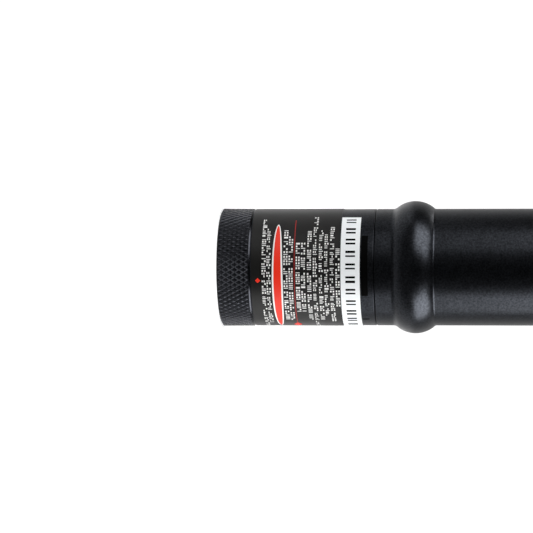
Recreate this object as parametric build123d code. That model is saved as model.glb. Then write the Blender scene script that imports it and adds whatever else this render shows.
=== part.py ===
from build123d import *
from math import atan, cos, degrees, hypot, pi, sin
import os

# Laser pointer: a turned and anodised aluminium tube that stands on its head.
# The front face is at height 0 and the tail points up. All sizes are in millimetres.

# Clearances
fit = 0.05                      # radial clearance of turned, threaded and glued-in round parts
button_fit = 0.08               # radial clearance of the button in the end wall
touch_gap = 0.05                # between a spring's tip and the face it would press on

# Two cells, each 17 x 34.5 mm
cell_case_radius = 8.5
cell_length = 34.5
cell_nub_radius = 3.0
cell_nub_height = 0.8
cell_edge = 0.6
cell_slack = 0.15               # radial room in the tube

# Tube and screw cap, built outwards from the cells: 22 mm across in the end
tail_thread_wall = 0.85
tail_thread_length = 7.0
tail_seal_cord = 0.84
cap_groove_wall = 0.56          # cap outside the seal's groove
thread_chamfer = 0.4
seam_chamfer = 0.15             # broken edge each side of a seam
socket_wall = 1.05              # tube round the head's spigot
socket_room = 0.5               # socket beyond the end of the head's spigot
collar_length = 3.55            # plain collar between seam and grip ring
grip_length = 7.45              # domed grip ring
grip_height = 1.49
grip_front_fillet = 1.2
grip_rear_fillet = 0.35
tube_setback = 2.0              # the tube's shoulder lies ahead of the last cell's end

# Knurl: flat-topped diamonds between two families of slanting grooves
knurl_count = 72                # grooves of each hand round a knurled band
knurl_height = 0.15             # flats above the plain tube
knurl_depth = 0.14              # from the flats to the groove crossings
diamond_length = 1.64           # one diamond along the axis
flank_share = 0.3               # how far in from the grooves a diamond's flat begins
relief = 0.1                    # how far the turned rims beside a band stand under its grooves

# Bezel ring
bezel_wall = 1.5
bezel_front_chamfer = 0.25
bezel_half_rows = 7
bezel_rear_chamfer = 0.3
aperture_radius = 4.5
recess_radius = 7.0             # mouth of the cone round the aperture
recess_depth = 0.9
aperture_land = 0.6             # plain bore behind the cone

# Window and its flat gasket
window_radius = 7.5
window_thickness = 1.0
gasket_width = 1.1
gasket_thickness = 1.0
gasket_pocket = 0.6             # how deep the gasket sits in the head
gasket_land = 0.2               # floor left inside the gasket

# Head shell
shoulder_thickness = 1.0        # inner shoulder that the laser module stands on
head_spigot_length = 5.15       # glued into the battery tube
head_room = 0.85                # head body behind the module barrel

# Print on the head
film_gap = 0.02                 # glue line under the film and the strip
film_thickness = 0.08
film_angle = 350.0              # round the head, open at the back
film_margin = 0.2               # bare metal between bezel ring and film
strip_width = 3.55
strip_angle = 157.0
strip_start_angle = -57.0       # from the front of the label, towards +X
strip_gap = 0.1                 # between film and strip
strip_margin = 2.6              # bare metal between strip and seam

# Laser module, a brass barrel with its optics, pump diode and driver
barrel_wall = 1.05              # brass round the driver board
barrel_rim = 0.5                # barrel behind the board
cell_inset = 0.5
cell_wall = 0.9                 # lens cell round the lens
cell_room = 0.5                 # focusing room behind the lens cell
lens_radius = 3.5
lens_thickness = 2.5
lens_crown = 0.8                # height of the lens's domed front
lens_setback = 0.8
cell_web = 1.3                  # wall between lens and filter
cell_web_bore = 2.0
filter_radius = 2.5
filter_thickness = 1.0
filter_setback = 0.9
bore_step = 0.45                # from the lens cell's radius down to the holders'
holder_room = 1.0
expander_length = 2.8
expander_setback = 0.5
expander_bore = 0.8
expander_lens_radius = 1.5
expander_lens_thickness = 1.2
crystal_length = 2.5
crystal_side = 1.0
diode_cap_radius = 1.775
diode_cap_height = 2.3
diode_cap_room = 0.4
diode_flange_radius = 2.8
diode_flange_thickness = 1.2
lead_radius = 0.225
lead_ring_radius = 1.27
lead_count = 3
lead_excess = 0.4               # lead standing out behind the board
diode_ring_land = 1.7           # lock ring outside the diode's flange
diode_ring_bore = 2.0
diode_ring_thickness = 1.8
board_ledge = 0.85              # seat of the driver board
board_thickness = 1.0
module_ring_thickness = 2.0
slot_width = 1.6                # spanner slots of the lock rings
slot_depth = 0.8

# Driver parts, on the front of the board round the diode's leads
part_gap = 0.9                  # from the leads to each part
part_room = 0.25                # from the widest part to the barrel
driver_air = 0.6                # free height in front of the tallest part
chip_width = 4.0
chip_depth = 3.0
chip_height = 1.4
trimmer_side = 3.0
trimmer_height = 1.6
trimmer_screw_radius = 1.0
trimmer_screw_height = 0.4
trimmer_slot = 0.4
capacitor_radius = 1.25
capacitor_height = 2.4
inductor_radius = 1.3
inductor_height = 1.8

# Contacts
spring_wire = 0.35              # radius of the wire
wire_sides = 8
spring_turns = 3.5
front_spring_base = 3.0
front_spring_tip = 1.8
tail_spring_room = 0.75         # between tail spring and retainer
tail_spring_tip = 2.6
insulator_thickness = 1.5
insulator_bore = 3.8
contact_room = 1.0              # from the insulator to the first cell

# Tail cap
cap_front_plain = 3.0
cap_half_rows = 7
seal_groove_room = 0.5          # the groove is this much wider than its seal
tail_seal_offset = 1.75         # centre of the seal's groove behind the cap's front edge
thread_room = 1.3               # cap bore beyond the end of the tube
cap_edge_chamfer = 0.8
end_wall = 1.5

# Tail switch
switch_step = 1.05              # from the cap's thread bore down to the switch's bore
switch_ledge = 1.5              # seat of the switch board
retainer_inset = 0.3
retainer_thickness = 1.5
retainer_width = 3.0
switch_board_thickness = 1.2
switch_side = 8.0
switch_height = 5.2
plunger_radius = 1.6
plunger_grip = 2.7              # plunger inside the switch at rest
plunger_floor = 0.3             # room under the pressed plunger
press_travel = 1.2
press_clearance = 0.3           # between button and switch when pressed
flange_room = 0.25              # between the button's flange and its bore
button_lip = 1.25               # flange beyond the hole in the end wall
button_flange_thickness = 1.0
button_proud = 1.5
button_edge = 0.6
button_dish_depth = 0.4
button_dish_rim = 1.2           # rim left round the dish

# Radii, each from what sits inside it
part_start = lead_ring_radius + lead_radius + part_gap
widest_part = max(
    hypot(part_start + chip_depth, chip_width / 2),
    hypot(part_start + trimmer_side, trimmer_side / 2),
    part_start + 2 * capacitor_radius,
    part_start + 2 * inductor_radius,
)
tallest_part = max(chip_height, trimmer_height + trimmer_screw_height, capacitor_height, inductor_height)
driver_room_radius = widest_part + part_room
board_radius = driver_room_radius + board_ledge
module_radius = board_radius + fit + barrel_wall
battery_bore = cell_case_radius + cell_slack
tail_thread_radius = battery_bore + tail_thread_wall
cap_bore = tail_thread_radius + fit
tail_seal_centre = cap_bore + tail_seal_cord / 2
tail_groove_floor = tail_seal_centre + tail_seal_cord / 2 + fit
tube_radius = tail_groove_floor + cap_groove_wall
socket_radius = tube_radius - socket_wall
head_spigot_radius = socket_radius - fit
head_bore = module_radius + fit
knurl_crest = tube_radius + knurl_height
knurl_root = knurl_crest - knurl_depth
band_rim = knurl_root - relief
front_spigot_radius = tube_radius - bezel_wall
bezel_bore = front_spigot_radius + fit
window_seat = window_radius + fit
head_aperture = window_radius - gasket_width - gasket_land
film_radius = tube_radius + film_gap
lens_cell_radius = lens_radius + fit + cell_wall
holder_radius = lens_cell_radius - bore_step
diode_ring_radius = diode_flange_radius + diode_ring_land
insulator_radius = battery_bore - fit
switch_bore = cap_bore - switch_step
switch_room_radius = switch_bore - switch_ledge
retainer_bore = switch_bore - retainer_width
tail_spring_base = retainer_bore - tail_spring_room - spring_wire
button_flange_radius = switch_room_radius - flange_room
button_hole = button_flange_radius - button_lip

# Places along the axis, from the front face towards the tail
half_row = diamond_length / 2
window_front = recess_depth + aperture_land
window_back = window_front + window_thickness
shoulder_front = window_back + gasket_thickness
head_front = shoulder_front - gasket_pocket
module_front = shoulder_front + shoulder_thickness
bezel_band_front = bezel_front_chamfer
bezel_band_back = bezel_band_front + bezel_half_rows * half_row
bezel_back = bezel_band_back + bezel_rear_chamfer

cell_front = module_front + cell_inset
lens_front = cell_front + lens_setback
lens_back = lens_front + lens_thickness
filter_front = lens_back + cell_web
filter_back = filter_front + filter_thickness
cell_back = filter_back + filter_setback
holder_bore_front = cell_back + cell_room
expander_front = holder_bore_front + holder_room
expander_lens_front = expander_front + expander_setback
expander_lens_back = expander_lens_front + expander_lens_thickness
crystal_front = expander_front + expander_length
crystal_back = crystal_front + crystal_length
flange_front = crystal_back + diode_cap_room + diode_cap_height
flange_back = flange_front + diode_flange_thickness
diode_ring_back = flange_back + diode_ring_thickness
board_front = diode_ring_back + tallest_part + driver_air
board_back = board_front + board_thickness
module_back = board_back + barrel_rim
module_ring_back = module_back + module_ring_thickness

seam = module_back + head_room
head_end = seam + head_spigot_length
strip_back = seam - strip_margin
strip_front = strip_back - strip_width
film_front = bezel_back + film_margin
film_back = strip_front - strip_gap

insulator_back = head_end + insulator_thickness
first_cell_front = insulator_back + contact_room
second_cell_front = first_cell_front + cell_length
cells_back = second_cell_front + cell_length
socket_end = head_end + socket_room
grip_front = seam + collar_length
grip_back = grip_front + grip_length
tube_back = cells_back - tube_setback
thread_end = tube_back + tail_thread_length

cap_band_front = tube_back + cap_front_plain
cap_band_back = cap_band_front + cap_half_rows * half_row
tail_seal_height = tube_back + tail_seal_offset
switch_bore_front = thread_end + thread_room
retainer_front = switch_bore_front + retainer_inset
retainer_back = retainer_front + retainer_thickness
switch_board_back = retainer_back + switch_board_thickness
switch_back = switch_board_back + switch_height
button_flange_front = switch_back + press_travel + press_clearance
end_wall_front = button_flange_front + button_flange_thickness
cap_back = end_wall_front + end_wall
button_top = cap_back + button_proud
plunger_front = switch_back - plunger_grip
plunger_bore_front = plunger_front - press_travel - plunger_floor


def turned(*corners, turn=360):
    """Solid of revolution about the axis from (radius, height) corners."""
    profile = make_face(Polyline(*corners, close=True))
    return revolve(Plane.XZ * profile, Axis.Z, turn)


def disc(radius, low, high):
    return turned((0, low), (radius, low), (radius, high), (0, high))


def ring(inner, outer, low, high, turn=360):
    return turned((inner, low), (outer, low), (outer, high), (inner, high), turn=turn)


def rubber_ring(centre, cord, height):
    """Round-section seal lying square to the axis."""
    section = Plane.XZ * Pos(centre, height) * Circle(cord / 2)
    return revolve(section, Axis.Z)


def spanner_slots(radius, low, high):
    """Bar across the axis that cuts two slots in a ring's face."""
    return Pos(0, 0, (low + high) / 2) * Box(2 * radius, slot_width, high - low)


def coil(tip_radius, base_radius, tip, base):
    """Cone-shaped wire spring between two heights, widest at its base."""
    step = 1 if base > tip else -1
    start = tip + step * spring_wire
    rise = abs(base - tip) - 2 * spring_wire
    path = Helix(
        pitch=rise / spring_turns,
        height=rise,
        radius=tip_radius,
        center=(0, 0, start),
        direction=(0, 0, step),
        cone_angle=degrees(atan((base_radius - tip_radius) / rise)),
    )
    wire = Plane(origin=path @ 0, z_dir=path % 0) * RegularPolygon(spring_wire, wire_sides)
    return sweep(wire, path=path, is_frenet=True)


def lattice_point(step, level, radius, base):
    """Point of the knurl's lattice: steps go round, levels go up by half a diamond."""
    angle = step * pi / knurl_count
    return Vector(radius * cos(angle), radius * sin(angle), base + level * half_row)


def diamond(step, level, base):
    """Groove crossings left, above, right and below one diamond, and the flat's corners.

    A corner of the flat lies on the line from its crossing to the diamond's peak, so that
    the flanks between them are flat. The peak is set so that the flat reaches the crest.
    """
    peak_radius = knurl_root + knurl_depth / flank_share
    peak = lattice_point(step, level, peak_radius, base)
    round_it = ((-1, 0), (0, 1), (1, 0), (0, -1))
    crossings = [lattice_point(step + a, level + b, knurl_root, base) for a, b in round_it]
    corners = [crossing + (peak - crossing) * flank_share for crossing in crossings]
    return crossings, corners


def diamond_faces(step, level, levels, base):
    """Flanks and folded flat of one diamond, or of the half at the end of a band."""
    (left, above, right, below), (left_in, above_in, right_in, below_in) = diamond(step, level, base)
    ridge_low, ridge_high = below_in, above_in
    if level == 0:
        ridge_low = (above_in + below_in) / 2
    if level == levels:
        ridge_high = (above_in + below_in) / 2
    outlines = [(left_in, ridge_low, ridge_high), (right_in, ridge_high, ridge_low)]
    if level < levels:
        outlines += [(left, left_in, above_in, above), (above, above_in, right_in, right)]
    if level > 0:
        outlines += [(right, right_in, below_in, below), (below, below_in, left_in, left)]
    return [Face(Wire.make_polygon(outline)) for outline in outlines]


def band_end(level, base):
    """Toothed flat face that closes a knurled bar."""
    outline = []
    for step in range((level + 1) % 2, 2 * knurl_count, 2):
        (left, _, _, _), (left_in, above_in, right_in, below_in) = diamond(step, level, base)
        outline += [left, left_in, (above_in + below_in) / 2, right_in]
    return Face(Wire.make_polygon(outline))


def knurled_bar(base, levels):
    """Solid bar with a diamond knurl all round, made of flat faces sewn together."""
    faces = [band_end(0, base), band_end(levels, base)]
    for level in range(levels + 1):
        for step in range((level + 1) % 2, 2 * knurl_count, 2):
            faces += diamond_faces(step, level, levels, base)
    return Solid(Shell(faces))


def bezel_ring():
    """Knurled ring that screws over the head's nose and holds the window."""
    body = knurled_bar(bezel_band_front, bezel_half_rows)
    body += turned(
        (0, 0),
        (band_rim - bezel_front_chamfer, 0),
        (band_rim, bezel_front_chamfer),
        (0, bezel_front_chamfer),
    )
    body += turned(
        (0, bezel_band_back),
        (band_rim, bezel_band_back),
        (band_rim - bezel_rear_chamfer, bezel_back),
        (0, bezel_back),
    )
    return body - turned(
        (0, 0),
        (recess_radius, 0),
        (aperture_radius, recess_depth),
        (aperture_radius, window_front),
        (window_seat, window_front),
        (window_seat, head_front),
        (bezel_bore, head_front),
        (bezel_bore, bezel_back),
        (0, bezel_back),
    )


def head_shell():
    """Front housing: threaded nose, printed body and glued spigot in one turned piece."""
    outer = turned(
        (0, head_front),
        (front_spigot_radius, head_front),
        (front_spigot_radius, bezel_back),
        (tube_radius, bezel_back),
        (tube_radius, seam - seam_chamfer),
        (tube_radius - seam_chamfer, seam),
        (head_spigot_radius, seam),
        (head_spigot_radius, head_end),
        (0, head_end),
    )
    return outer - turned(
        (0, head_front),
        (window_radius, head_front),
        (window_radius, shoulder_front),
        (head_aperture, shoulder_front),
        (head_aperture, module_front),
        (head_bore, module_front),
        (head_bore, head_end),
        (0, head_end),
    )


def label_film():
    """Thin printed film round the head, open at the back."""
    film = ring(film_radius, film_radius + film_thickness, film_front, film_back, turn=film_angle)
    return Rot(0, 0, 90 + (360 - film_angle) / 2) * film


def number_strip():
    """Narrow white tape round the front half of the head."""
    strip = ring(film_radius, film_radius + film_thickness, strip_front, strip_back, turn=strip_angle)
    return Rot(0, 0, strip_start_angle - 90) * strip


def module_barrel():
    """Brass barrel bored in steps for cell, holders, diode and driver board."""
    return disc(module_radius, module_front, module_back) - turned(
        (0, module_front),
        (lens_cell_radius + fit, module_front),
        (lens_cell_radius + fit, holder_bore_front),
        (holder_radius + fit, holder_bore_front),
        (holder_radius + fit, crystal_back),
        (diode_cap_radius + fit, crystal_back),
        (diode_cap_radius + fit, flange_front),
        (diode_flange_radius + fit, flange_front),
        (diode_flange_radius + fit, flange_back),
        (diode_ring_radius + fit, flange_back),
        (diode_ring_radius + fit, diode_ring_back),
        (driver_room_radius, diode_ring_back),
        (driver_room_radius, board_front),
        (board_radius + fit, board_front),
        (board_radius + fit, module_back),
        (0, module_back),
    )


def lens_cell():
    """Threaded cell with the collimating lens in front and the filter behind."""
    return disc(lens_cell_radius, cell_front, cell_back) - turned(
        (0, cell_front),
        (lens_radius + fit, cell_front),
        (lens_radius + fit, lens_back),
        (cell_web_bore, lens_back),
        (cell_web_bore, filter_front),
        (filter_radius + fit, filter_front),
        (filter_radius + fit, cell_back),
        (0, cell_back),
    )


def ball_radius(width, height):
    """Radius of the ball whose cap has this half width and this height."""
    return (width**2 + height**2) / (2 * height)


def collimating_lens():
    """Lens with a domed front and a flat back."""
    crown = ball_radius(lens_radius, lens_crown)
    ball = Pos(0, 0, lens_front + crown) * Sphere(crown)
    return disc(lens_radius, lens_front, lens_back) & ball


def expander_holder():
    return disc(holder_radius, expander_front, crystal_front) - turned(
        (0, expander_front),
        (expander_lens_radius + fit, expander_front),
        (expander_lens_radius + fit, expander_lens_back),
        (expander_bore, expander_lens_back),
        (expander_bore, crystal_front),
        (0, crystal_front),
    )


def laser_crystal():
    """Square crystal stack on the axis."""
    middle = (crystal_front + crystal_back) / 2
    return Pos(0, 0, middle) * Box(crystal_side, crystal_side, crystal_length)


def crystal_holder():
    middle = (crystal_front + crystal_back) / 2
    hole = crystal_side + 2 * fit
    return disc(holder_radius, crystal_front, crystal_back) - Pos(0, 0, middle) * Box(
        hole, hole, crystal_length
    )


def lead_places():
    return PolarLocations(lead_ring_radius, lead_count, start_angle=90)


def pump_diode():
    """Metal-can diode: cap in front, flange, and leads through the board."""
    lead_end = board_back + lead_excess
    can = disc(diode_cap_radius, flange_front - diode_cap_height, flange_front)
    can += disc(diode_flange_radius, flange_front, flange_back)
    for place in lead_places():
        can += place * disc(lead_radius, flange_back, lead_end)
    return can


def diode_lock_ring():
    body = ring(diode_ring_bore, diode_ring_radius, flange_back, diode_ring_back)
    return body - spanner_slots(diode_ring_radius, diode_ring_back - slot_depth, diode_ring_back)


def module_lock_ring():
    body = ring(driver_room_radius, module_radius, module_back, module_ring_back)
    return body - spanner_slots(module_radius, module_ring_back - slot_depth, module_ring_back)


def driver_board():
    board = disc(board_radius, board_front, board_back)
    for place in lead_places():
        board -= place * disc(lead_radius + fit, board_front, board_back)
    return board


def on_board(turn, depth, height):
    """Where a part's middle lies on the board's front face, turned round the leads."""
    return Rot(0, 0, turn) * Pos(part_start + depth / 2, 0, board_front - height / 2)


def driver_chip():
    return on_board(-90, chip_depth, chip_height) * Box(chip_depth, chip_width, chip_height)


def current_trimmer():
    """Square trimmer with a round screw that has a slot."""
    place = on_board(90, trimmer_side, trimmer_height)
    screw_middle = Pos(0, 0, -(trimmer_height + trimmer_screw_height) / 2)
    slot_middle = Pos(0, 0, -trimmer_height / 2 - trimmer_screw_height)
    body = Box(trimmer_side, trimmer_side, trimmer_height)
    body += screw_middle * Cylinder(trimmer_screw_radius, trimmer_screw_height)
    slot = slot_middle * Box(2 * trimmer_screw_radius, trimmer_slot, trimmer_screw_height)
    return place * (body - slot)


def driver_capacitor():
    place = on_board(0, 2 * capacitor_radius, capacitor_height)
    return place * Cylinder(capacitor_radius, capacitor_height)


def driver_inductor():
    place = on_board(180, 2 * inductor_radius, inductor_height)
    return place * Cylinder(inductor_radius, inductor_height)


def battery_cell(low):
    """Cylindrical cell with bevelled case edges and a nub at its front end."""
    shoulder = low + cell_nub_height
    high = low + cell_length
    return turned(
        (0, low),
        (cell_nub_radius, low),
        (cell_nub_radius, shoulder),
        (cell_case_radius - cell_edge, shoulder),
        (cell_case_radius, shoulder + cell_edge),
        (cell_case_radius, high - cell_edge),
        (cell_case_radius - cell_edge, high),
        (0, high),
    )


def nearest_corner(face, radius, height):
    return face.vertices().sort_by_distance((radius, height, 0))[0]


def battery_tube():
    """Tube with its domed grip ring, front socket and rear thread, turned from one bar."""
    crown = (tube_radius + grip_height, (grip_front + grip_back) / 2)
    outline = Polyline((0, seam), (tube_radius - seam_chamfer, seam), (tube_radius, seam + seam_chamfer))
    outline += Line((tube_radius, seam + seam_chamfer), (tube_radius, grip_front))
    outline += ThreePointArc((tube_radius, grip_front), crown, (tube_radius, grip_back))
    outline += Polyline(
        (tube_radius, grip_back),
        (tube_radius, tube_back - seam_chamfer),
        (tube_radius - seam_chamfer, tube_back),
        (tail_thread_radius, tube_back),
        (tail_thread_radius, thread_end - thread_chamfer),
        (tail_thread_radius - thread_chamfer, thread_end),
        (0, thread_end),
        (0, seam),
    )
    profile = make_face(outline)
    profile = fillet(nearest_corner(profile, tube_radius, grip_front), grip_front_fillet)
    profile = fillet(nearest_corner(profile, tube_radius, grip_back), grip_rear_fillet)
    return revolve(Plane.XZ * profile, Axis.Z) - turned(
        (0, seam),
        (socket_radius, seam),
        (socket_radius, socket_end),
        (battery_bore, socket_end),
        (battery_bore, thread_end),
        (0, thread_end),
    )


def tail_cap():
    """Screw cap with a knurled band, a seal groove, the switch's bores and the button's hole."""
    groove = (tail_seal_cord + seal_groove_room) / 2
    body = knurled_bar(cap_band_front, cap_half_rows)
    body += turned(
        (0, tube_back),
        (tube_radius - seam_chamfer, tube_back),
        (tube_radius, tube_back + seam_chamfer),
        (tube_radius, cap_band_front - relief),
        (band_rim, cap_band_front),
        (0, cap_band_front),
    )
    body += turned(
        (0, cap_band_back),
        (band_rim, cap_band_back),
        (tube_radius, cap_band_back + relief),
        (tube_radius, cap_back - cap_edge_chamfer),
        (tube_radius - cap_edge_chamfer, cap_back),
        (0, cap_back),
    )
    return body - turned(
        (0, tube_back),
        (cap_bore, tube_back),
        (cap_bore, tail_seal_height - groove),
        (tail_groove_floor, tail_seal_height - groove),
        (tail_groove_floor, tail_seal_height + groove),
        (cap_bore, tail_seal_height + groove),
        (cap_bore, switch_bore_front),
        (switch_bore, switch_bore_front),
        (switch_bore, switch_board_back),
        (switch_room_radius, switch_board_back),
        (switch_room_radius, end_wall_front),
        (button_hole, end_wall_front),
        (button_hole, cap_back),
        (0, cap_back),
    )


def switch_retainer():
    """Threaded ring with spanner slots that clamps the switch board."""
    body = ring(retainer_bore, switch_bore - fit, retainer_front, retainer_back)
    return body - spanner_slots(switch_bore, retainer_front, retainer_front + slot_depth)


def switch_body():
    """Square push switch with a round well for its plunger."""
    middle = (switch_board_back + switch_back) / 2
    body = Pos(0, 0, middle) * Box(switch_side, switch_side, switch_height)
    return body - disc(plunger_radius + fit, plunger_bore_front, switch_back)


def tail_button():
    """Flanged push button with a rounded edge and a shallow dish for the thumb."""
    radius = button_hole - button_fit
    body = disc(radius, button_flange_front, button_top)
    top_edge = body.edges().filter_by(GeomType.CIRCLE).sort_by(Axis.Z)[-1]
    body = fillet(top_edge, button_edge)
    body += disc(button_flange_radius, button_flange_front, end_wall_front)
    dish_radius = radius - button_dish_rim
    ball = ball_radius(dish_radius, button_dish_depth)
    return body - Pos(0, 0, button_top - button_dish_depth + ball) * Sphere(ball)


pieces = {
    "bezel_ring": bezel_ring(),
    "window": disc(window_radius, window_front, window_back),
    "window_gasket": ring(window_radius - gasket_width, window_radius - fit, window_back, shoulder_front),
    "head_shell": head_shell(),
    "label_film": label_film(),
    "number_strip": number_strip(),
    "module_barrel": module_barrel(),
    "lens_cell": lens_cell(),
    "collimating_lens": collimating_lens(),
    "infrared_filter": disc(filter_radius, filter_front, filter_back),
    "expander_holder": expander_holder(),
    "expander_lens": disc(expander_lens_radius, expander_lens_front, expander_lens_back),
    "crystal_holder": crystal_holder(),
    "laser_crystal": laser_crystal(),
    "pump_diode": pump_diode(),
    "diode_lock_ring": diode_lock_ring(),
    "driver_board": driver_board(),
    "driver_chip": driver_chip(),
    "current_trimmer": current_trimmer(),
    "driver_capacitor": driver_capacitor(),
    "driver_inductor": driver_inductor(),
    "module_lock_ring": module_lock_ring(),
    "front_contact_spring": coil(
        front_spring_tip, front_spring_base, first_cell_front - touch_gap, board_back
    ),
    "contact_insulator": ring(insulator_bore, insulator_radius, head_end, insulator_back),
    "battery_tube": battery_tube(),
    "battery_front": battery_cell(first_cell_front),
    "battery_rear": battery_cell(second_cell_front),
    "tail_contact_spring": coil(
        tail_spring_tip, tail_spring_base, cells_back + touch_gap, retainer_back
    ),
    "tail_cap": tail_cap(),
    "tail_seal": rubber_ring(tail_seal_centre, tail_seal_cord, tail_seal_height),
    "switch_retainer": switch_retainer(),
    "switch_board": disc(switch_bore - fit, retainer_back, switch_board_back),
    "switch_body": switch_body(),
    "switch_plunger": disc(plunger_radius, plunger_front, button_flange_front),
    "tail_button": tail_button(),
}

os.makedirs("parts", exist_ok=True)
for name, piece in pieces.items():
    export_step(piece, f"parts/{name}.step")
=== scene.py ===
from math import asin, cos, pi, radians, sin

import bpy
import numpy as np
from mathutils import Matrix, Vector


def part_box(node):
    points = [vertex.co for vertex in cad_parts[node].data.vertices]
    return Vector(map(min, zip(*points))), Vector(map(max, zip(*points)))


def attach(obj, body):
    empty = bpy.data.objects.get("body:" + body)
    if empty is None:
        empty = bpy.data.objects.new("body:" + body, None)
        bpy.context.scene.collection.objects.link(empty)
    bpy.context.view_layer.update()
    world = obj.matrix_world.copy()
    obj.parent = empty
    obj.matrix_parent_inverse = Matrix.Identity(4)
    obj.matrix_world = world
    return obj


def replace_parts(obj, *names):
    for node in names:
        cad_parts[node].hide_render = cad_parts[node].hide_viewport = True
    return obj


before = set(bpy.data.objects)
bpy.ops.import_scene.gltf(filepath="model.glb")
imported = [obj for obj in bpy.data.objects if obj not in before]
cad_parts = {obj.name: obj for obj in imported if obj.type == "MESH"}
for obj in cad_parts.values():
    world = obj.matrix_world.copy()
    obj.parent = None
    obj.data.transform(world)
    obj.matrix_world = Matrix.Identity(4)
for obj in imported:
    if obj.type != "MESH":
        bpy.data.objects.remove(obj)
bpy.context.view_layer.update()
mm = 0.001


def span(name):  # lowest height, highest height and outer radius of a node, in mm
    low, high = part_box(name)
    return low.z / mm, high.z / mm, high.x / mm


headFront, headEnd, tubeRadius = span("head_shell")
seam, threadEnd, gripRadius = span("battery_tube")
windowFront, windowBack, windowRadius = span("window")
gasketBack = span("window_gasket")[1]
moduleFront, _, moduleRadius = span("module_barrel")
bezelBack = span("bezel_ring")[1]
filmFront, filmBack, filmOuter = span("label_film")
tapeFront, tapeBack, _ = span("number_strip")
insulatorRadius = span("contact_insulator")[2]
capFront, capBack, _ = span("tail_cap")
sealLow, sealHigh, sealRadius = span("tail_seal")
retainerFront = span("switch_retainer")[0]
switchBoardBack = span("switch_body")[0]
switchBoardRadius = span("switch_board")[2]
buttonFront, buttonTop, buttonFlange = span("tail_button")
fit = 0.05                # radial clearance of turned parts, mm
front = -90               # the middle of the print faces -Y, in degrees from +X
tiny = 1e-6               # shorter steps (mm) and smaller angles count as none
noiseLow, noiseHigh = 0.3, 0.7  # nearly all values of a noise texture lie between these


# Colour, nodes and meshes

def linear(hexColour):  # sRGB hex to the linear colour that the shaders use
    c = np.array([int(hexColour[i:i + 2], 16) for i in (0, 2, 4)]) / 255
    return (*np.where(c <= 0.04045, c / 12.92, ((c + 0.055) / 1.055) ** 2.4), 1.0)


def addNode(tree, kind, inputs=None, **settings):  # adds a node with its settings, values and links
    node = tree.nodes.new(kind)
    for name, value in settings.items():
        setattr(node, name, value)
    for name, value in (inputs or {}).items():
        if isinstance(value, bpy.types.NodeSocket):
            tree.links.new(value, node.inputs[name])
        else:
            node.inputs[name].default_value = value
    return node


def newMaterial(name):
    material = bpy.data.materials.new(name)
    material.use_nodes = True
    material.node_tree.nodes.clear()
    return material, material.node_tree


def addPiece(name, points, faces, material, body, slotName=None, smooth=35):
    # Puts arrays of points (mm) and of faces into a mesh that faces outwards, and rides it on its body.
    # Edges that turn by more than smooth, in degrees, stay sharp.
    points = np.asarray(points, float)
    corners = np.concatenate([np.stack((f[:, 0], f[:, i], f[:, i + 1]), 1)
                              for f in faces for i in range(1, f.shape[1] - 1)])
    a, b, c = points[corners].transpose(1, 0, 2)
    inwards = np.einsum("ij,ij->", a, np.cross(b, c)) < 0
    rows = [row for f in faces for row in (f[:, ::-1] if inwards else f).tolist()]
    mesh = bpy.data.meshes.new(name)
    mesh.from_pydata((points * mm).tolist(), [], rows)
    mesh.polygons.foreach_set("use_smooth", np.ones(len(rows), bool))
    mesh.set_sharp_from_angle(angle=radians(smooth))
    mesh.materials.append(material)
    piece = bpy.data.objects.new(name, mesh)
    bpy.context.scene.collection.objects.link(piece)
    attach(piece, body)
    return piece


def outline(corners, steps=3, margin=0.1):
    # Closed outline in radius and height. A corner (radius, height, rounding) becomes an arc that
    # touches both its sides, and each arc gets a point on either side, so that long walls shade flat.
    table = np.array(corners, float)
    p, rounding = table[:, :2], table[:, 2]
    back, ahead = np.roll(p, 1, 0) - p, np.roll(p, -1, 0) - p
    back /= np.linalg.norm(back, axis=1)[:, None]
    ahead /= np.linalg.norm(ahead, axis=1)[:, None]
    half = np.arccos(np.clip((back * ahead).sum(1), -1, 1)) / 2
    middle = back + ahead  # 0 at a point that lies on a straight side, which has no rounding
    middle /= np.maximum(np.linalg.norm(middle, axis=1), tiny)[:, None]
    centre = p + middle * (rounding / np.sin(half))[:, None]
    start = p + back * (rounding / np.tan(half))[:, None]
    end = p + ahead * (rounding / np.tan(half))[:, None]
    t = np.linspace(0, 1, steps + 1)[None, :, None]
    bend = np.maximum(pi - 2 * half, tiny)[:, None, None]
    arcs = centre[:, None] + (np.sin((1 - t) * bend) * (start - centre)[:, None]
                              + np.sin(t * bend) * (end - centre)[:, None]) / np.sin(bend)
    reach = np.where(rounding > 0, margin, 0)[:, None]
    arcs = np.concatenate(((start + back * reach)[:, None], arcs, (end + ahead * reach)[:, None]), 1)
    flat = arcs.reshape(-1, 2)
    step = np.linalg.norm(flat - np.roll(flat, 1, 0), axis=1)
    return flat[step > tiny]


def around(points, angles):  # radius and height carried round the axis: rows follow the outline
    r, z = points[:, 0, None], points[:, 1, None]
    return np.stack(np.broadcast_arrays(r * np.cos(angles), r * np.sin(angles), z), -1)


def gridFaces(index, closed=True):  # quads between the rows and columns of an index grid
    across = np.roll(index, -1, 1) if closed else index[:, 1:]
    here = index if closed else index[:, :-1]
    return np.stack((here[:-1], across[:-1], across[1:], here[1:]), -1).reshape(-1, 4)


def turnedRing(points, columns=256):  # closed outline turned all the way round
    angles = np.arange(columns) * 2 * pi / columns
    index = np.arange(len(points) * columns).reshape(len(points), columns)
    return around(points, angles).reshape(-1, 3), [gridFaces(np.vstack((index, index[:1])))]


def betweenPoles(rings, first, last):  # rings of points, closed at both ends by fans round a pole
    count, columns = rings.shape[:2]
    index = np.arange(count * columns).reshape(count, columns)
    pole = np.full(columns, count * columns)
    fans = [np.stack((pole, np.roll(index[0], -1), index[0]), 1),
            np.stack((pole + 1, index[-1], np.roll(index[-1], -1)), 1)]
    return np.vstack((rings.reshape(-1, 3), [first, last])), [gridFaces(index), *fans]


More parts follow.
